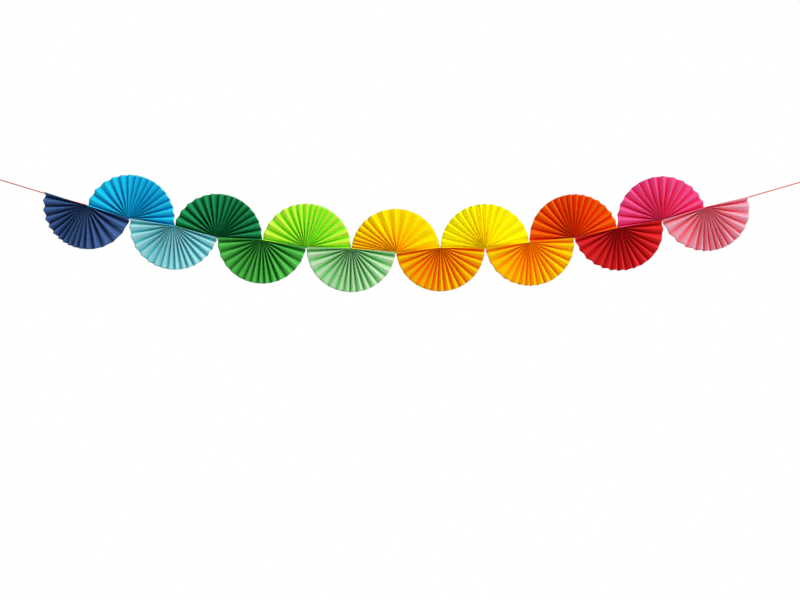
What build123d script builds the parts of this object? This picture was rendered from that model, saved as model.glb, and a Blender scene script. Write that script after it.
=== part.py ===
from build123d import *
import math
import os

# A garland of half-disc paper fans on a cord, hung from a loop at each end.
# X runs along the garland, Z is up, and the fans face -Y.
# The origin is where the left loop bears on its hook.

# Paper: each fan is one sheet, folded like an accordion, tied across its middle and opened to a half disc
fan_radius = 100.0            # tie to rim, below or above the tie
corner_reach = 2.2            # end folds beside another fan are drawn out this much further
fold_width = 17.0             # crease to crease
paper_thickness = 0.2
layer_pitch = 0.25            # room of one layer where the folds are pressed together at the tie
neck_length = 3.5             # outer folds run this far along the chord before they swing to their own angle
neck_roundness = 4.0          # exponent of the curve that the swing points lie on
free_share = 0.25             # share of the way from neck to rim where the pressed layers have come apart
flattest_fold = 2.5           # depth that is left in a fold pulled almost flat
fullest_wall = 0.8            # share of the stack's depth that pressed layers may fill
middle_gap = 0.2              # glue line where the two inner edges meet
joint_gap = 0.2               # glue line between the end folds of neighbours
corner_gap = 0.8              # from a fan's corner to the tie of the fan beside it

# Cord: it passes over the ties of the hanging fans and under those of the standing ones
cord_diameter = 2.2
cord_setback = 5.5            # cord's axis behind the middle plane of the fans
cord_seat_gap = 0.2           # cord to the stack of folds that it lies on
cord_bend_radius = 10.0
left_corner_drop = 3.3        # cord's axis below the first fan's outer corner
right_corner_drop = 1.0       # cord's axis below the last fan's outer corner
corner_lead_length = 8.0      # cord runs this far past an outer corner before it counts as free
left_end_length = 109.0       # free cord, end of the lead to knot
right_end_length = 132.0
left_end_fall = 16.9          # how steeply the free ends fall from left to right, in degrees
right_end_fall = -16.1

# Hanging loops, each with its knot
loop_length = 26.0            # knot to bearing point
loop_radius = 5.0
knot_radius = 3.1

# How steeply each half chord falls from left to right, in degrees
half_chord_falls = (18.0, 16.5, 10.0, 14.5, 3.5, 9.0, 2.0, 4.5,
                    -5.5, -0.5, -6.5, -6.0, -12.5, -10.5, -15.5, -14.5)

# Fans from left to right: name, folds in one half, lean of the middle line to the right,
# gathering of the left and right halves towards the middle line, opening of the end folds,
# tilt of the rim towards the front; angles in degrees
fans = (
    ("navy_fan", 16, -9.0, 0.30, 0.40, 4.5, -4.0),
    ("sky_blue_fan", 16, 6.0, 0.25, 0.10, 2.0, 0.0),
    ("aqua_fan", 16, 7.0, 0.20, 0.15, 4.0, -3.0),
    ("dark_green_fan", 16, 7.0, 0.10, 0.20, 2.0, 0.0),
    ("green_fan", 15, 0.0, 0.20, 0.30, 4.5, 0.0),
    ("lime_fan", 16, 4.0, 0.25, 0.30, 2.0, 0.0),
    ("mint_fan", 15, 2.0, 0.25, 0.25, 4.0, 0.0),
    ("gold_fan", 14, -34.0, -0.40, 0.12, 2.0, 0.0),
    ("amber_fan", 16, -2.0, 0.20, 0.10, 3.0, 0.0),
    ("yellow_fan", 16, -4.0, 0.10, 0.30, 2.0, 0.0),
    ("saffron_fan", 16, -1.0, 0.35, 0.15, 4.5, 5.0),
    ("orange_fan", 16, 3.0, 0.30, 0.15, 4.0, 0.0),
    ("red_fan", 15, -3.0, 0.15, 0.15, 5.0, 12.0),
    ("magenta_fan", 14, 1.0, 0.10, -0.05, 2.0, 0.0),
    ("pink_fan", 15, -1.0, 0.30, 0.35, 4.5, 7.0),
)


def heading(degrees):
    """Unit vector in the hanging plane, turned up from +X."""
    return Vector(math.cos(math.radians(degrees)), 0, math.sin(math.radians(degrees)))


def bearing(vector):
    """Angle of a vector in the hanging plane, up from +X."""
    return math.degrees(math.atan2(vector.Z, vector.X))


def angle_across(length):
    """Angle that a short length takes up on the rim."""
    return math.degrees(math.asin(length / fan_radius))


def rim_angle(line, folds, sweep, gather, opening):
    """Angle of a fold line at the rim, from the chord; gathering crowds the lines towards the middle line."""
    if line == 0:
        return angle_across(joint_gap / 2)
    last = sweep - angle_across(middle_gap / 2)
    share = (line - 1) / (folds - 1)
    return opening + (last - opening) * (share + gather * math.sin(math.pi * share) / math.pi)


def half_fold_lines(tie, stack, joint, turn, sweep, folds, gather, opening, tilt):
    """Fold lines of one half: each leaves the tie along the chord, swings at the neck and runs to the rim."""
    chord = bearing(joint - tie)
    reach_at_joint = (joint - tie).length - corner_gap - fan_radius
    lines = []
    rim_room = fan_radius * math.radians(sweep) / folds
    half_depth = math.sqrt(max(fold_width**2 - rim_room**2, flattest_fold**2)) / 2
    for line in range(folds + 1):
        at_tie = tie + stack * (joint_gap / 2 + line * layer_pitch)
        swing = math.sqrt(1 - (line / folds) ** neck_roundness)
        reach = middle_gap / 2 + (neck_length - middle_gap / 2) * swing
        neck = at_tie + heading(chord) * reach
        angle = rim_angle(line, folds, sweep, gather, opening)
        from_chord = math.radians(angle)
        tilted = math.radians(tilt) * math.sin(from_chord)
        tooth = half_depth * math.sin(tilted) * (-1 if line % 2 == 0 else 1)
        radius = fan_radius + reach_at_joint * math.cos(from_chord) ** 2
        rim = tie + heading(chord + turn * angle) * (radius * math.cos(tilted) + tooth)
        rim -= Vector(0, radius * math.sin(tilted), 0)
        lines.append([at_tie, neck, neck + (rim - neck) * free_share, rim])
    return lines


def sheet_depths(line, column):
    """Front and back of the sheet on one fold line, from the room that its folds have there."""
    neighbours = column[max(line - 1, 0):line] + column[line + 1:line + 2]
    room = sum((column[line] - other).length for other in neighbours) / len(neighbours)
    depth = math.sqrt(max(fold_width**2 - room**2, flattest_fold**2))
    wall = min(paper_thickness * fold_width / room, fullest_wall * depth)
    if line % 2 == 0:
        return -depth / 2, -depth / 2 + wall
    return depth / 2 - wall, depth / 2


def triangles(corners, flipped):
    """Two triangles over four corners, split along one diagonal or the other."""
    a, b, c, d = corners
    split = ((a, b, d), (b, c, d)) if flipped else ((a, b, c), (a, c, d))
    return [Face(Wire.make_polygon(points)) for points in split]


def folded_sheet(columns):
    """Closed solid of a folded sheet; each column holds the points of all fold lines at one station."""
    front, back = [], []
    for column in columns:
        depths = [sheet_depths(line, column) for line in range(len(column))]
        front.append([Vector(p.X, p.Y + near - cord_setback, p.Z) for p, (near, _) in zip(column, depths)])
        back.append([Vector(p.X, p.Y + far - cord_setback, p.Z) for p, (_, far) in zip(column, depths)])
    faces = []
    last_station, last_line = len(columns) - 1, len(columns[0]) - 1
    for side in (front, back):
        for s in range(last_station):
            for k in range(last_line):
                corners = side[s][k], side[s + 1][k], side[s + 1][k + 1], side[s][k + 1]
                faces += triangles(corners, s < last_station / 2)
    for k in range(last_line):
        for s in (0, last_station):
            faces += triangles((front[s][k], front[s][k + 1], back[s][k + 1], back[s][k]), False)
    for s in range(last_station):
        for k in (0, last_line):
            faces += triangles((front[s][k], front[s + 1][k], back[s + 1][k], back[s][k]), False)
    return Solid(Shell(faces))


def fan(left_joint, tie, right_joint, hangs, folds, lean, left_gather, right_gather, opening, tilt):
    """Half-disc fan about its tie, below the chord if it hangs and above it if it stands."""
    turn = 1 if hangs else -1
    left_chord = bearing(left_joint - tie)
    right_chord = bearing(right_joint - tie)
    sweep = turn * (right_chord - left_chord) % 360
    stack = heading(left_chord + turn * sweep / 2)
    left_sweep, right_sweep = sweep / 2 + lean, sweep / 2 - lean
    left = half_fold_lines(tie, stack, left_joint, turn, left_sweep, folds, left_gather, opening, tilt)
    right = half_fold_lines(tie, stack, right_joint, -turn, right_sweep, folds, right_gather, opening, tilt)
    left_columns = [list(column) for column in zip(*left)]
    right_columns = [list(column) for column in zip(*right)]
    return folded_sheet(left_columns[::-1] + right_columns[1:])


def tube(path):
    """Round cord along a path."""
    return sweep(Plane(origin=path @ 0, z_dir=path % 0) * Circle(cord_diameter / 2), path)


def hanging_loop(knot_start, outward):
    """Knot at the end of the free cord and the eye beyond it, in the hanging plane."""
    frame = Plane(origin=knot_start, x_dir=outward, z_dir=(0, -1, 0))
    cord_radius = cord_diameter / 2
    knot_centre = math.sqrt(knot_radius**2 - cord_radius**2)
    ball_end = 180 - math.degrees(math.asin(cord_radius / knot_radius))
    ball = CenterArc((knot_centre, 0), knot_radius, 0, ball_end)
    outline = Polyline(ball @ 1, (0, 0), ball @ 0)
    knot = revolve(make_face(ball + outline), Axis.X)
    tip = loop_length + cord_radius
    centre = tip - loop_radius
    meeting = math.degrees(math.acos(loop_radius / (centre - knot_centre)))
    touch = 180 - meeting
    eye = []
    for side in (1, -1):
        touch_point = Vector(centre, 0) + loop_radius * Vector(1, 0).rotate(Axis.Z, side * touch)
        strand = Line((knot_centre, 0), touch_point)
        bend = CenterArc((centre, 0), loop_radius, side * touch, -side * touch)
        eye.append(tube(strand + bend))
    return frame * (knot + eye[0] + eye[1])


# Joints along the hanging line: the first and last are the outer corners' ends, the rest are the ties
outer_pitch = fan_radius + corner_gap
joints = [Vector(0, 0, 0)]
for i, fall in enumerate(half_chord_falls):
    outer = i in (0, len(half_chord_falls) - 1)
    joints.append(joints[-1] + heading(-fall) * (outer_pitch if outer else outer_pitch + corner_reach))

# Cord's route: one point beside each tie, on the side that the fan leaves free
seat = cord_diameter / 2 + cord_seat_gap - joint_gap / 2
left_outward = heading(180 - left_end_fall)
right_outward = heading(-right_end_fall)
left_corner = joints[0] - Vector(0, 0, left_corner_drop)
right_corner = joints[-1] - Vector(0, 0, right_corner_drop)
route = [left_corner + left_outward * corner_lead_length, left_corner]
for i in range(1, len(joints) - 1):
    across = (joints[i + 1] - joints[i - 1]).normalized()
    free_side = Vector(-across.Z, 0, across.X) * (1 if i % 2 == 1 else -1)
    route.append(joints[i] + free_side * seat)
route += [right_corner, right_corner + right_outward * corner_lead_length]

# Everything moves so that the left loop bears on the origin
bearing_point = route[0] + left_outward * (left_end_length + loop_length)
joints = [joint - bearing_point for joint in joints]
route = [point - bearing_point for point in route]
left_knot = route[0] + left_outward * left_end_length
right_knot = route[-1] + right_outward * right_end_length

nodes = {}
for i, (name, *shape) in enumerate(fans, start=1):
    nodes[name] = fan(joints[i - 1], joints[i], joints[i + 1], i % 2 == 1, *shape)
nodes["garland_cord"] = tube(FilletPolyline(*route, radius=cord_bend_radius))
nodes["left_cord_end"] = tube(Line(route[0], left_knot))
nodes["right_cord_end"] = tube(Line(route[-1], right_knot))
nodes["left_loop"] = hanging_loop(left_knot, left_outward)
nodes["right_loop"] = hanging_loop(right_knot, right_outward)

os.makedirs("parts", exist_ok=True)
for name, solid in nodes.items():
    export_step(solid, f"parts/{name}.step")
    print(f"{name}: {solid.volume:.1f} mm3")
print(f"cord bends at {cord_bend_radius} mm; free ends {left_end_length} and {right_end_length} mm")
print("right loop bears at", right_knot + right_outward * loop_length)
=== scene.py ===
import bpy
import numpy as np
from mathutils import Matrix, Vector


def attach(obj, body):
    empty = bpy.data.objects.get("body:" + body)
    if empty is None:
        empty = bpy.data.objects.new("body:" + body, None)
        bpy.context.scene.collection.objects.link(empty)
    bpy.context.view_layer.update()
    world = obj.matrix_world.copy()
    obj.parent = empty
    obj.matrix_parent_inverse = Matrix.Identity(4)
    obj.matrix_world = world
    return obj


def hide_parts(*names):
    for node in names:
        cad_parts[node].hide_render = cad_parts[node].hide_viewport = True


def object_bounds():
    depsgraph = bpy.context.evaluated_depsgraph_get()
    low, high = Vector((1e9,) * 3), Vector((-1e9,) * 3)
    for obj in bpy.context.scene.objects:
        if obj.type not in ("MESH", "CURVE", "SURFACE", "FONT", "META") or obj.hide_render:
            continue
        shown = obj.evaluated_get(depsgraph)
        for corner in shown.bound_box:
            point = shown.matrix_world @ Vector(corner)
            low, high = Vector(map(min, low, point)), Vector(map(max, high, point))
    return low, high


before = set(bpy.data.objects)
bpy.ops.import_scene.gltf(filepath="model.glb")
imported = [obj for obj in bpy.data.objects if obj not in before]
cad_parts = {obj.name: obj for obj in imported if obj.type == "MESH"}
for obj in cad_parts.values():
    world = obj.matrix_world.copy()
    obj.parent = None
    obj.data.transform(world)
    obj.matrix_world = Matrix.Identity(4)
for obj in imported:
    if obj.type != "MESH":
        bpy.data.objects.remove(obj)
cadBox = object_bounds()
mm = 0.001

# the line that the garland hangs on, as in the part's source
hangLine = {
    "fanRadius": 100 * mm,
    "cornerReach": 2.2 * mm,
    "cornerGap": 0.8 * mm,
    "falls": (18.0, 16.5, 10.0, 14.5, 3.5, 9.0, 2.0, 4.5,
              -5.5, -0.5, -6.5, -6.0, -12.5, -10.5, -15.5, -14.5),
}
cordRun = {
    "diameter": 2.2 * mm,
    "seat": 1.2 * mm,           # cord's axis beside a tie
    "leftDrop": 3.3 * mm,
    "rightDrop": 1.0 * mm,
    "lead": 8 * mm,
    "leftEnd": 109 * mm,
    "rightEnd": 132 * mm,
    "leftFall": 16.9,
    "rightFall": -16.1,
    "loop": 26 * mm,
    "setback": 5.5 * mm,
    "bite": 12 * mm,            # route points this far on each side of a tie hold the cord to it
}


def heading(degrees):
    # unit vector in the hanging plane, as x and z, turned up from +X
    turned = np.radians(degrees)
    return np.stack([np.cos(turned), np.sin(turned)], -1)


def bearing(flat):
    # angle of a vector in the hanging plane, up from +X
    return np.degrees(np.arctan2(flat[1], flat[0]))


def spaced(flat, depth=0.0):
    # points of the hanging plane set at one depth
    flat = np.asarray(flat, float)
    return np.stack([flat[..., 0], np.full(flat.shape[:-1], depth), flat[..., 1]], -1)


pitch = np.full(len(hangLine["falls"]), hangLine["fanRadius"] + hangLine["cornerGap"])
pitch[1:-1] += hangLine["cornerReach"]
joints = np.vstack([[(0, 0)], np.cumsum(heading(-np.array(hangLine["falls"])) * pitch[:, None], 0)])
leftOut = heading(180 - cordRun["leftFall"])
rightOut = heading(-cordRun["rightFall"])
leftCorner = joints[0] - (0, cordRun["leftDrop"])
rightCorner = joints[-1] - (0, cordRun["rightDrop"])
leftStart = leftCorner + leftOut * cordRun["lead"]
joints = joints - leftStart - leftOut * (cordRun["leftEnd"] + cordRun["loop"])
shift = joints[0] + (0, -cordRun["leftDrop"]) - leftCorner
leftCorner, rightCorner, leftStart = leftCorner + shift, rightCorner + shift, leftStart + shift
rightStart = rightCorner + rightOut * cordRun["lead"]

# camera: level, square on to the garland, aimed at the middle of the picture
photoView = {"distance": 2.0, "lens": 39.3, "x": 0.9526, "z": -0.2863, "frontPlane": -13.5 * mm}
camera = bpy.data.objects.new("photoCamera", bpy.data.cameras.new("photoCamera"))
camera.data.lens = photoView["lens"]
camera.location = (photoView["x"], photoView["frontPlane"] - photoView["distance"], photoView["z"])
camera.rotation_euler = (np.pi / 2, 0, 0)
bpy.context.scene.collection.objects.link(camera)
bpy.context.scene.camera = camera
print("camera set at", tuple(round(c, 3) for c in camera.location))


class Shade:
    # one shader value; plain arithmetic on it adds Math nodes
    def __init__(self, tree, socket=None):
        self.tree = tree
        self.socket = socket

    def node(self, kind, settings=None, sockets=None, out=0):
        made = self.tree.nodes.new(kind)
        for name, value in (settings or {}).items():
            setattr(made, name, value)
        for name, value in (sockets or {}).items():
            if isinstance(value, Shade):
                self.tree.links.new(value.socket, made.inputs[name])
            else:
                made.inputs[name].default_value = value
        return Shade(self.tree, made.outputs[out])

    def maths(self, operation, first, second):
        return self.node("ShaderNodeMath", {"operation": operation}, {0: first, 1: second})

    def __add__(self, other):
        return self.maths("ADD", self, other)

    def __sub__(self, other):
        return self.maths("SUBTRACT", self, other)

    def __mul__(self, other):
        return self.maths("MULTIPLY", self, other)

    def mix(self, first, second):
        # colour that goes from first to second as this value goes from 0 to 1
        return self.node("ShaderNodeMix", {"data_type": "RGBA"}, {0: self, 6: first, 7: second}, 2)


def screenColour(red, green, blue):
    # linear colour of a value read from a screen, 0 to 255
    value = np.array([red, green, blue]) / 255
    linear = np.where(value <= 0.04045, value / 12.92, ((value + 0.055) / 1.055) ** 2.4)
    return (*(float(v) for v in linear), 1.0)


def startMaterial(name):
    # empty material with its surface shader, and a Shade to build from
    material = bpy.data.materials.new(name)
    material.use_nodes = True
    shader = material.node_tree.nodes["Principled BSDF"]
    return material, shader, Shade(material.node_tree)


paperLook = {
    "roughness": 0.82,
    "gloss": 0.01,
    "fibreScale": 1400,
    "fibreDepth": 0.03 * mm,
    "fibreRelief": 0.35,
    "cloudScale": 30.0,
    "mottle": 0.16,
    "glow": 0.35,               # share of the light that goes into the sheet and out again on either side
    "glowReach": 0.4 * mm,
}


def paperMaterial(name, face, deep):
    # paper in its own dye: fibres mottle it, and painted shade makes the colour deeper and darker down in
    # the folds
    material, shader, shade = startMaterial(name)
    place = shade.node("ShaderNodeTexCoord", out="Object")
    grain = {"Vector": place, "Scale": paperLook["fibreScale"], "Detail": 4.0}
    fibres = shade.node("ShaderNodeTexNoise", None, grain)
    patches = {"Vector": place, "Scale": paperLook["cloudScale"], "Detail": 2.0}
    cloud = shade.node("ShaderNodeTexNoise", None, patches)
    # painted shade: the mask read here mixes the paper's colour towards a deeper, more saturated one down in
    # the folds and at the tie
    foldShadeMask = shade.node("ShaderNodeAttribute", {"attribute_name": "foldShadeMask"}, out="Fac")
    paperWithPaintedShade = foldShadeMask.mix(screenColour(*face), screenColour(*deep))
    mottle = (fibres * 0.6 + cloud * 0.4 - 0.5) * paperLook["mottle"] + 1
    mottled = shade.node("ShaderNodeVectorMath", {"operation": "SCALE"}, {"Vector": paperWithPaintedShade, "Scale": mottle})
    shade.tree.links.new(mottled.socket, shader.inputs["Base Color"])
    relief = {"Strength": paperLook["fibreRelief"], "Distance": paperLook["fibreDepth"], "Height": fibres}
    bump = shade.node("ShaderNodeBump", None, relief)
    shade.tree.links.new(bump.socket, shader.inputs["Normal"])
    shader.inputs["Roughness"].default_value = paperLook["roughness"]
    shader.inputs["Specular IOR Level"].default_value = paperLook["gloss"]
    shader.inputs["Subsurface Weight"].default_value = paperLook["glow"]
    shader.inputs["Subsurface Radius"].default_value = (1, 1, 1)
    shader.inputs["Subsurface Scale"].default_value = paperLook["glowReach"]
    return material


cordLook = {
    "left": (206, 8, 5),
    "right": (252, 40, 28),
    # painted shade colour for the furrows between the strands
    "furrow": (170, 4, 4),
    "furrowShadeShare": 0.5,
    "fadeLength": 1.9,          # from the left colour to the right one
    "roughness": 0.8,
    "gloss": 0.2,
    "fuzzScale": 3000.0,
    "fuzzDepth": 0.1 * mm,
    "fuzzRelief": 0.4,
}


def cordMaterial():
    # twist-laid thread: painted shade makes it darker in the furrows between strands, and it is redder
    # towards the left end
    material, shader, shade = startMaterial("cordThread")
    place = shade.node("ShaderNodeTexCoord", out="Object")
    along = shade.node("ShaderNodeSeparateXYZ", None, {"Vector": place}, "X")
    fade = {"Value": along, "From Min": 0.0, "From Max": cordLook["fadeLength"]}
    share = shade.node("ShaderNodeMapRange", None, fade)
    thread = share.mix(screenColour(*cordLook["left"]), screenColour(*cordLook["right"]))
    # painted shade: the strand dips read here darken the thread's colour in the furrows
    furrow = shade.node("ShaderNodeAttribute", {"attribute_name": "furrow"}, out="Fac")
    threadWithFurrowShade = (furrow * cordLook["furrowShadeShare"]).mix(thread, screenColour(*cordLook["furrow"]))
    hairs = {"Vector": place, "Scale": cordLook["fuzzScale"], "Detail": 2.0}
    fuzz = shade.node("ShaderNodeTexNoise", None, hairs)
    shade.tree.links.new(threadWithFurrowShade.socket, shader.inputs["Base Color"])
    relief = {"Strength": cordLook["fuzzRelief"], "Distance": cordLook["fuzzDepth"], "Height": fuzz}
    bump = shade.node("ShaderNodeBump", None, relief)
    shade.tree.links.new(bump.socket, shader.inputs["Normal"])
    shader.inputs["Roughness"].default_value = cordLook["roughness"]
    shader.inputs["Specular IOR Level"].default_value = cordLook["gloss"]
    return material


cordThread = cordMaterial()


def addPiece(name, points, faces, smooth, material, label, values, replaced):
    # mesh object at the origin that rides on the garland and stands for a CAD node
    mesh = bpy.data.meshes.new(name)
    mesh.from_pydata(points.tolist(), [], faces)
    mesh.polygons.foreach_set("use_smooth", smooth)
    mesh.attributes.new(label, "FLOAT", "POINT").data.foreach_set("value", values.astype(np.float32))
    mesh.materials.append(material)
    mesh.update()
    piece = bpy.data.objects.new(name, mesh)
    bpy.context.scene.collection.objects.link(piece)
    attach(piece, "root")
    if replaced:
        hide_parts(replaced)
    return piece


def gridQuads(rows, columns, start=0, flipped=False):
    # quads over a grid of points that are stored row by row
    corner = start + (np.arange(rows - 1)[:, None] * columns + np.arange(columns - 1)).ravel()
    quads = np.stack([corner, corner + 1, corner + columns + 1, corner + columns], -1)
    return quads[:, ::-1] if flipped else quads


def smoothLine(name, points):
    # points read from a smooth spline that has the route's points as its controls
    curve = bpy.data.curves.new(name, "CURVE")
    curve.dimensions = "3D"
    curve.resolution_u = 12
    spline = curve.splines.new("NURBS")
    spline.points.add(len(points) - 1)
    spline.points.foreach_set("co", np.hstack([points, np.ones((len(points), 1))]).ravel())
    spline.order_u = 3
    spline.use_endpoint_u = True
    helper = bpy.data.objects.new(name, curve)
    read = bpy.data.meshes.new_from_object(helper)
    line = np.empty(len(read.vertices) * 3)
    read.vertices.foreach_get("co", line)
    bpy.data.objects.remove(helper)
    bpy.data.meshes.remove(read)
    return line.reshape(-1, 3)


threadTwist = {"strands": 3, "lay": 5 * mm, "furrow": 0.12, "sides": 12, "step": 0.5 * mm}


def twistedTube(line, diameter):
    # strand profile carried along a line: radius dips between the strands, and the dips turn as it goes
    lengths = np.r_[0, np.cumsum(np.linalg.norm(np.diff(line, axis=0), axis=1))]
    run = np.linspace(0, lengths[-1], max(int(lengths[-1] / threadTwist["step"]), 8) + 1)
    centre = np.stack([np.interp(run, lengths, line[:, i]) for i in range(3)], -1)
    tangent = np.gradient(centre, axis=0)
    tangent /= np.linalg.norm(tangent, axis=1, keepdims=True)
    across = np.cross(tangent, (0, 1, 0))
    across /= np.linalg.norm(across, axis=1, keepdims=True)
    over = np.cross(across, tangent)
    turn = np.linspace(0, 2 * np.pi, threadTwist["sides"], endpoint=False)
    dip = 0.5 - 0.5 * np.cos(threadTwist["strands"] * (turn + run[:, None] * 2 * np.pi / threadTwist["lay"]))
    radius = diameter / 2 * (1 + threadTwist["furrow"] * (0.5 - dip))
    ring = centre[:, None] + radius[..., None] * (
        np.cos(turn)[:, None] * across[:, None] + np.sin(turn)[:, None] * over[:, None]
    )
    rows, sides = radius.shape
    corner = np.arange((rows - 1) * sides)
    beside = corner // sides * sides + (corner + 1) % sides
    quads = np.stack([corner, beside, beside + sides, corner + sides], -1)
    middles = len(corner) + sides + np.arange(2)                    # one point closes each end
    first, last = np.arange(sides), (rows - 1) * sides + np.arange(sides)
    startCap = np.stack([first, np.full(sides, middles[0]), np.roll(first, -1)], -1)
    endCap = np.stack([last, np.roll(last, -1), np.full(sides, middles[1])], -1)
    faces = quads.tolist() + startCap.tolist() + endCap.tolist()
    points = np.vstack([ring.reshape(-1, 3), centre[:1], centre[-1:]])
    return points, faces, np.r_[dip.ravel(), 0, 0], centre


def addCord(name, route, diameter, replaced):
    # twisted cord along the smooth line of a route
    points, faces, furrow, centre = twistedTube(smoothLine(name + "Line", route), diameter)
    smooth = np.ones(len(faces), bool)
    return addPiece(name, points, faces, smooth, cordThread, "furrow", furrow, replaced), centre


# controls on one side of the eye, from the knot to the tip, and how thick its strand is drawn
eyeShape = {"reach": (2.4, 10.0, 18.0, 25.0, 28.2), "spread": (0.5, 2.6, 4.9, 6.4, 3.2), "thickness": 0.95}
knotShape = {"turns": 3.25, "start": 0.6 * mm, "end": 4.4 * mm, "radius": 1.75 * mm, "thickness": 0.8}


def loopRoute(knot, outward):
    # controls of the eye: out of the knot along one side, round the tip and back along the other
    side = np.array([-outward[1], outward[0]])
    reach, spread = np.array(eyeShape["reach"]) * mm, np.array(eyeShape["spread"]) * mm
    reach, spread = np.r_[reach, reach[::-1]], np.r_[spread, -spread[::-1]]
    return spaced(knot + reach[:, None] * outward + spread[:, None] * side)


def knotRoute(knot, outward):
    # controls of three wraps round the strands, as a small barrel
    side = np.array([-outward[1], outward[0]])
    turn = np.linspace(0, knotShape["turns"], int(knotShape["turns"] * 4) + 1) * 2 * np.pi
    along = np.linspace(knotShape["start"], knotShape["end"], len(turn))
    points = spaced(knot + along[:, None] * outward + (knotShape["radius"] * np.cos(turn))[:, None] * side)
    points[:, 1] = knotShape["radius"] * np.sin(turn)
    return points


freeEnds = (
    ("left", leftStart, leftOut, cordRun["leftEnd"]),
    ("right", rightStart, rightOut, cordRun["rightEnd"]),
)
for side, start, outward, length in freeEnds:
    knot = start + outward * length
    runs = np.array([0, 0.35, 0.7, 1.0])[:, None] * length
    thick = cordRun["diameter"]
    end, path = addCord(side + "CordEnd", spaced(start + runs * outward), thick, side + "_cord_end")
    eye, _ = addCord(side + "Loop", loopRoute(knot, outward), thick * eyeShape["thickness"], side + "_loop")
    wraps, _ = addCord(side + "Knot", knotRoute(knot, outward), thick * knotShape["thickness"], None)
print("free cord ends and hanging loops made")

# held stretch of the cord: over the ties of hanging fans and under those of standing ones
across = joints[2:] - joints[:-2]
across /= np.linalg.norm(across, axis=1, keepdims=True)
freeSide = np.stack([-across[:, 1], across[:, 0]], -1)
freeSide[1::2] *= -1
seats = joints[1:-1] + freeSide * cordRun["seat"]
corners = np.vstack([leftCorner, seats, rightCorner])
towards = np.diff(corners, axis=0)
towards /= np.linalg.norm(towards, axis=1, keepdims=True)
before = corners[1:-1] - towards[:-1] * cordRun["bite"]
after = corners[1:-1] + towards[1:] * cordRun["bite"]
held = np.stack([before, corners[1:-1], after], 1).reshape(-1, 2)
route = np.vstack([leftStart, leftCorner, held, rightCorner, rightStart])
addCord("garlandCord", spaced(route), cordRun["diameter"], "garland_cord")
print("held cord made")

sheetShape = {
    "foldWidth": 17 * mm,
    "paper": 0.2 * mm,
    "layerPitch": 0.25 * mm,
    "neck": 3.5 * mm,
    "neckRoundness": 4.0,
    "neckSoftness": 0.9 * mm,
    "flattest": 2.5 * mm,
    "middleGap": 0.18 * mm,
    "jointGap": 0.2 * mm,
    "creaseSharpness": 0.0015,
    "bow": 0.25 * mm,
    "unevenAngle": 0.45,
    "unevenDepth": 0.05,
    "stations": 26,
    "stationCrowding": 1.25,    # power that crowds the stations towards the tie
    "seed": 40,
    "hubShade": 0.85,             # how much the painted shade deepens the colour on the crests at the tie
    "hubSpread": 15 * mm,       # distance from the tie over which that fades
    "steepShade": 1.0,            # how much less the painted shade deepens the colour in a flatter fold
    "tieShadePower": 0.9,              # power of the fold depth in the painted shade at the tie
    "rimShadePower": 1.1,              # what is added to that power at the rim
}
acrossFold = np.array([0, 0.03, 0.09, 0.2, 0.35, 0.5, 0.65, 0.8, 0.91, 0.97])

# one line for each fan: folds in a half, lean of its middle line, gathering of the halves, opening of
# the end folds, tilt of the rim to the front, then the paper's own colour and the painted shade colour deep
# in the folds
fanTable = {
    "navy": (16, -9.0, 0.30, 0.40, 4.5, -4.0, (71, 104, 161), (2, 3, 7)),
    "sky_blue": (16, 6.0, 0.25, 0.10, 2.0, 0.0, (30, 198, 226), (0, 144, 212)),
    "aqua": (16, 7.0, 0.20, 0.15, 4.0, -3.0, (168, 221, 224), (0, 194, 208)),
    "dark_green": (16, 7.0, 0.10, 0.20, 2.0, 0.0, (34, 157, 93), (2, 40, 17)),
    "green": (15, 0.0, 0.20, 0.30, 4.5, 0.0, (90, 197, 86), (0, 102, 4)),
    "lime": (16, 4.0, 0.25, 0.30, 2.0, 0.0, (202, 235, 68), (112, 246, 0)),
    "mint": (15, 2.0, 0.25, 0.25, 4.0, 0.0, (198, 225, 188), (26, 204, 46)),
    "gold": (14, -34.0, -0.40, 0.12, 2.0, 0.0, (252, 224, 6), (255, 204, 1)),
    "amber": (16, -2.0, 0.20, 0.10, 3.0, 0.0, (246, 196, 6), (255, 112, 1)),
    "yellow": (16, -4.0, 0.10, 0.30, 2.0, 0.0, (255, 240, 12), (255, 248, 1)),
    "saffron": (16, -1.0, 0.35, 0.15, 4.5, 5.0, (255, 206, 8), (255, 152, 1)),
    "orange": (16, 3.0, 0.30, 0.15, 4.0, 0.0, (242, 108, 10), (236, 2, 1)),
    "red": (15, -3.0, 0.15, 0.15, 5.0, 12.0, (226, 46, 49), (184, 1, 5)),
    "magenta": (14, 1.0, 0.10, -0.05, 2.0, 0.0, (242, 92, 156), (238, 1, 74)),
    "pink": (15, -1.0, 0.30, 0.35, 4.5, 7.0, (236, 174, 191), (246, 42, 76)),
}


def foldDepth(room):
    # depth of a fold from the room it has: width, room and depth make a right angle
    return np.sqrt(np.maximum(sheetShape["foldWidth"] ** 2 - room ** 2, sheetShape["flattest"] ** 2))


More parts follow.
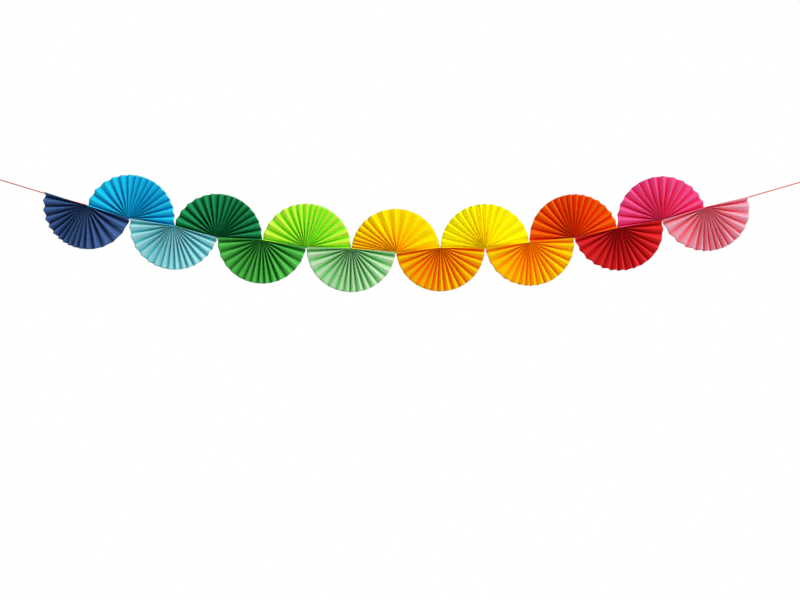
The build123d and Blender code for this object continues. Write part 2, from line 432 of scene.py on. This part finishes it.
def halfLines(tie, stack, joint, turn, sweep, fan, gather, uneven):
    # fold lines of one half, as lines by stations in the hanging plane: each leaves the tie along the chord,
    # swings round at the neck and runs straight to its place on the rim
    folds, opening = fan[0], fan[4]
    chord = bearing(joint - tie)
    line = np.arange(folds + 1)
    share = (line - 1) / (folds - 1)
    glue = np.array([sheetShape["jointGap"], sheetShape["middleGap"]])
    slim = np.degrees(np.arcsin(glue / 2 / hangLine["fanRadius"]))
    angle = opening + (sweep - slim[1] - opening) * (share + gather * np.sin(np.pi * share) / np.pi)
    angle[2:-1] += uneven[2:-1]
    angle[0] = slim[0]
    atTie = tie + stack * (sheetShape["jointGap"] / 2 + line * sheetShape["layerPitch"])[:, None]
    swing = np.sqrt(1 - (line / folds) ** sheetShape["neckRoundness"])
    reach = sheetShape["middleGap"] / 2 + (sheetShape["neck"] - sheetShape["middleGap"] / 2) * swing
    neck = atTie + reach[:, None] * heading(chord)
    tilted = np.radians(fan[5]) * np.sin(np.radians(angle))
    rimRoom = hangLine["fanRadius"] * np.radians(sweep) / folds
    halfDepth = foldDepth(rimRoom) / 2
    reachAtJoint = np.linalg.norm(joint - tie) - hangLine["cornerGap"] - hangLine["fanRadius"]
    radius = hangLine["fanRadius"] + reachAtJoint * np.cos(np.radians(angle)) ** 2
    tooth = halfDepth * np.sin(tilted) * np.where(line % 2 == 0, -1, 1)
    onward = tie + heading(chord + turn * angle) * (radius * np.cos(tilted) + tooth)[:, None] - neck
    onwardLength = np.linalg.norm(onward, axis=1)
    station = np.linspace(0, 1, sheetShape["stations"]) ** sheetShape["stationCrowding"]
    run = station * (reach + onwardLength)[:, None]
    soft = np.minimum(sheetShape["neckSoftness"], reach / 4)[:, None]
    bent = -soft * np.logaddexp(-run / soft, -reach[:, None] / soft)
    bent -= bent[:, :1]
    past = (run - bent) * (onwardLength / (run - bent)[:, -1])[:, None]
    gone = past / onwardLength[:, None]
    lines = atTie[:, None] + bent[..., None] * heading(chord) + gone[..., None] * onward[:, None]
    return lines, -gone * (radius * np.sin(tilted))[:, None]


def pleats(lines, sway, depthShare, bows, seamRoom):
    # sheet between fold lines: depth at each line follows from the room its folds have there, creases are
    # slightly rounded and each fold is bowed a little; gives points, stations by places across the sheet,
    # how far back each lies, 0 on a front crest and 1 on a back one, and how steep its fold is
    room = np.linalg.norm(np.diff(lines, axis=0), axis=-1)
    depth = foldDepth(np.vstack([room[:1], (room[1:] + room[:-1]) / 2, seamRoom]))
    station = np.linspace(0, 1, lines.shape[1])
    side = np.where(np.arange(len(lines)) % 2 == 0, -1.0, 1.0)[:, None]
    line = side * depth / 2 * (1 - depthShare[:, None] * station) + sway
    share = acrossFold[None, :, None]
    flat = lines[:-1, None] * (1 - share[..., None]) + lines[1:, None] * share[..., None]
    wave = np.arcsin((1 - sheetShape["creaseSharpness"]) * np.sin(np.pi * (share - 0.5))) * 2 / np.pi
    deep = (line[:-1, None] + line[1:, None]) / 2 + (line[1:, None] - line[:-1, None]) / 2 * wave
    arch = bows[:, None, None] * 4 * share * (1 - share) * station
    along = np.diff(lines, axis=0) / np.maximum(room, 1e-9)[..., None]
    flat = flat + (arch * (depth[:-1, None] / sheetShape["foldWidth"]))[..., None] * along[:, None]
    points = np.concatenate([flat[..., :1], deep[..., None], flat[..., 1:]], -1)
    points = points.reshape(-1, lines.shape[1], 3)
    behind = ((1 + wave * side[1:, None]) / 2 * np.ones_like(deep)).reshape(-1, lines.shape[1])
    steep = (depth[:-1, None] * (1 - share) + depth[1:, None] * share) / sheetShape["foldWidth"]
    steep = np.vstack([steep.reshape(-1, lines.shape[1]), depth[-1:] / sheetShape["foldWidth"]])
    end = np.stack([lines[-1, :, 0], line[-1], lines[-1, :, 1]], -1)
    endBehind = np.full((1, lines.shape[1]), (1 + side[-1, 0]) / 2)
    return np.vstack([points, end[None]]).transpose(1, 0, 2), np.vstack([behind, endBehind]).T, steep.T


def paintedFoldShade(behind, steep, away):
    # painted shade that deepens the colour: all over at the tie, and only down in the folds where they are
    # open;
    # a power of the depth that rises towards the rim, less in a flatter fold, joined with a term that
    # fades away from the tie
    gone = away / hangLine["fanRadius"]
    power = sheetShape["tieShadePower"] + sheetShape["rimShadePower"] * gone
    folded = behind ** power * steep ** sheetShape["steepShade"]
    return 1 - (1 - folded) * (1 - sheetShape["hubShade"] * np.exp(-away / sheetShape["hubSpread"]))


def sheetNormals(points):
    # unit normals of a grid, turned to face the front
    normal = np.cross(np.gradient(points, axis=0), np.gradient(points, axis=1))
    normal /= np.maximum(np.linalg.norm(normal, axis=-1, keepdims=True), 1e-12)
    return normal * np.where(normal[..., 1:2] > 0, -1, 1)


def addFan(number, name, fan):
    # one sheet: fold lines of both halves, pleats between them, and half the paper's thickness to each side
    chance = np.random.default_rng(sheetShape["seed"] + number)
    folds, lean, leftGather, rightGather = fan[:4]
    leftJoint, tie, rightJoint = joints[number - 1:number + 2]
    turn = 1 if number % 2 == 1 else -1
    sweep = turn * (bearing(rightJoint - tie) - bearing(leftJoint - tie)) % 360
    stack = heading(bearing(leftJoint - tie) + turn * sweep / 2)
    foldLines = []
    for joint, way, halfSweep, gather in (
        (leftJoint, turn, sweep / 2 + lean, leftGather),
        (rightJoint, -turn, sweep / 2 - lean, rightGather),
    ):
        uneven = chance.normal(0, sheetShape["unevenAngle"], folds + 1)
        foldLines.append(halfLines(tie, stack, joint, way, halfSweep, fan, gather, uneven))
    seamRoom = np.mean([np.linalg.norm(lines[-1] - lines[-2], axis=-1) for lines, _ in foldLines], 0)
    parts = []
    for lines, sway in foldLines:
        depthShare = np.abs(chance.normal(0, sheetShape["unevenDepth"], folds + 1))
        depthShare[[0, -1]] = 0                                     # glued edges stay level
        bows = chance.normal(0, sheetShape["bow"], folds)
        parts.append(pleats(lines, sway, depthShare, bows, seamRoom))
    points, behind, steep = (np.concatenate([left[::-1], right[1:]]) for left, right in zip(*parts))
    away = np.linalg.norm(points[..., ::2] - tie, axis=-1)
    points[..., 1] -= cordRun["setback"]
    normal = sheetNormals(points)
    front = points + normal * sheetShape["paper"] / 2
    back = points - normal * sheetShape["paper"] / 2
    rows, columns = behind.shape
    count = rows * columns
    place = np.arange(count).reshape(rows, columns)
    rim = np.concatenate([place[0, :-1], place[:-1, -1], place[-1, :0:-1], place[:0:-1, 0]])
    beside = np.roll(rim, -1)
    facesFront = np.cross(points[1, 0] - points[0, 0], points[0, 1] - points[0, 0])[1] < 0
    edge = np.stack([rim, beside, beside + count, rim + count], -1)
    quads = np.vstack([
        gridQuads(rows, columns, 0, facesFront), gridQuads(rows, columns, count, not facesFront),
        edge[:, ::-1] if not facesFront else edge,
    ])
    smooth = np.arange(len(quads)) < len(quads) - len(edge)         # cut edges stay sharp
    paper = paperMaterial(name + "Paper", fan[6], fan[7])
    points = np.vstack([front.reshape(-1, 3), back.reshape(-1, 3)])
    # painted shade on both faces of the sheet: deeper colour down in the folds and all over at the tie
    foldShadeMask = np.r_[paintedFoldShade(behind, steep, away).ravel(), paintedFoldShade(1 - behind, steep, away).ravel()]
    addPiece(name + "Fan", points, quads.tolist(), smooth, paper, "foldShadeMask", foldShadeMask,
             name + "_fan")


for number, (name, fan) in enumerate(fanTable.items(), start=1):
    addFan(number, name, fan)
print("fans folded:", len(fanTable))

studio = {
    "floorDrop": 1.2,
    "floorSize": 12.0,
    "floorShade": 0.8,
    "fill": 0.46,
    "key": 2.3,
    "keySoftness": 20,
    "keyTilt": 46,
    "keyTurn": 36,
    "keyPlace": (1.95, -2, 2),
    "bounces": 24,              # light goes on between the walls of a narrow fold
}


def addStage():
    # pale floor far below, white to the camera like the world behind it
    lowest = cadBox[0].z - studio["floorDrop"]
    half = studio["floorSize"] / 2
    corner = np.array([(-half, -half), (half, -half), (half, half), (-half, half)])
    mesh = bpy.data.meshes.new("paleFloor")
    mesh.from_pydata([(photoView["x"] + x, y, lowest) for x, y in corner], [], [(0, 1, 2, 3)])
    floor = bpy.data.objects.new("paleFloor", mesh)
    bpy.context.scene.collection.objects.link(floor)
    material, shader, shade = startMaterial("paleFloor")
    shader.inputs["Base Color"].default_value = (*[studio["floorShade"]] * 3, 1)
    seen = shade.node("ShaderNodeLightPath", out="Is Camera Ray")
    white = shade.node("ShaderNodeEmission", None, {"Strength": 1.0})
    lit = Shade(shade.tree, shader.outputs[0])
    mixed = shade.node("ShaderNodeMixShader", None, {0: seen, 1: lit, 2: white})
    shade.tree.links.new(mixed.socket, shade.tree.nodes["Material Output"].inputs["Surface"])
    mesh.materials.append(material)


def addLight():
    # even white room, with a broad soft lamp far off above and to the right of the viewer
    world = bpy.data.worlds.new("whiteRoom")
    world.use_nodes = True
    shade = Shade(world.node_tree)
    path = shade.node("ShaderNodeLightPath", out="Is Camera Ray")
    glossy = shade.node("ShaderNodeLightPath", out="Is Glossy Ray")
    clear = shade.node("ShaderNodeLightPath", out="Is Transmission Ray")
    seen = shade.maths("MAXIMUM", shade.maths("MAXIMUM", path, glossy), clear)
    strength = seen * (1 - studio["fill"]) + studio["fill"]
    background = world.node_tree.nodes["Background"]
    background.inputs["Color"].default_value = (1, 1, 1, 1)
    world.node_tree.links.new(strength.socket, background.inputs["Strength"])
    bpy.context.scene.world = world
    lamp = bpy.data.lights.new("softKey", "SUN")
    lamp.energy = studio["key"]
    lamp.angle = np.radians(studio["keySoftness"])
    key = bpy.data.objects.new("softKey", lamp)
    key.location = studio["keyPlace"]
    key.rotation_euler = np.radians((studio["keyTilt"], 0, studio["keyTurn"]))
    bpy.context.scene.collection.objects.link(key)


addStage()
addLight()
bpy.context.scene.view_settings.view_transform = "Standard"
bpy.context.scene.cycles.max_bounces = studio["bounces"]
bpy.context.scene.cycles.diffuse_bounces = studio["bounces"]
print("stage lit")
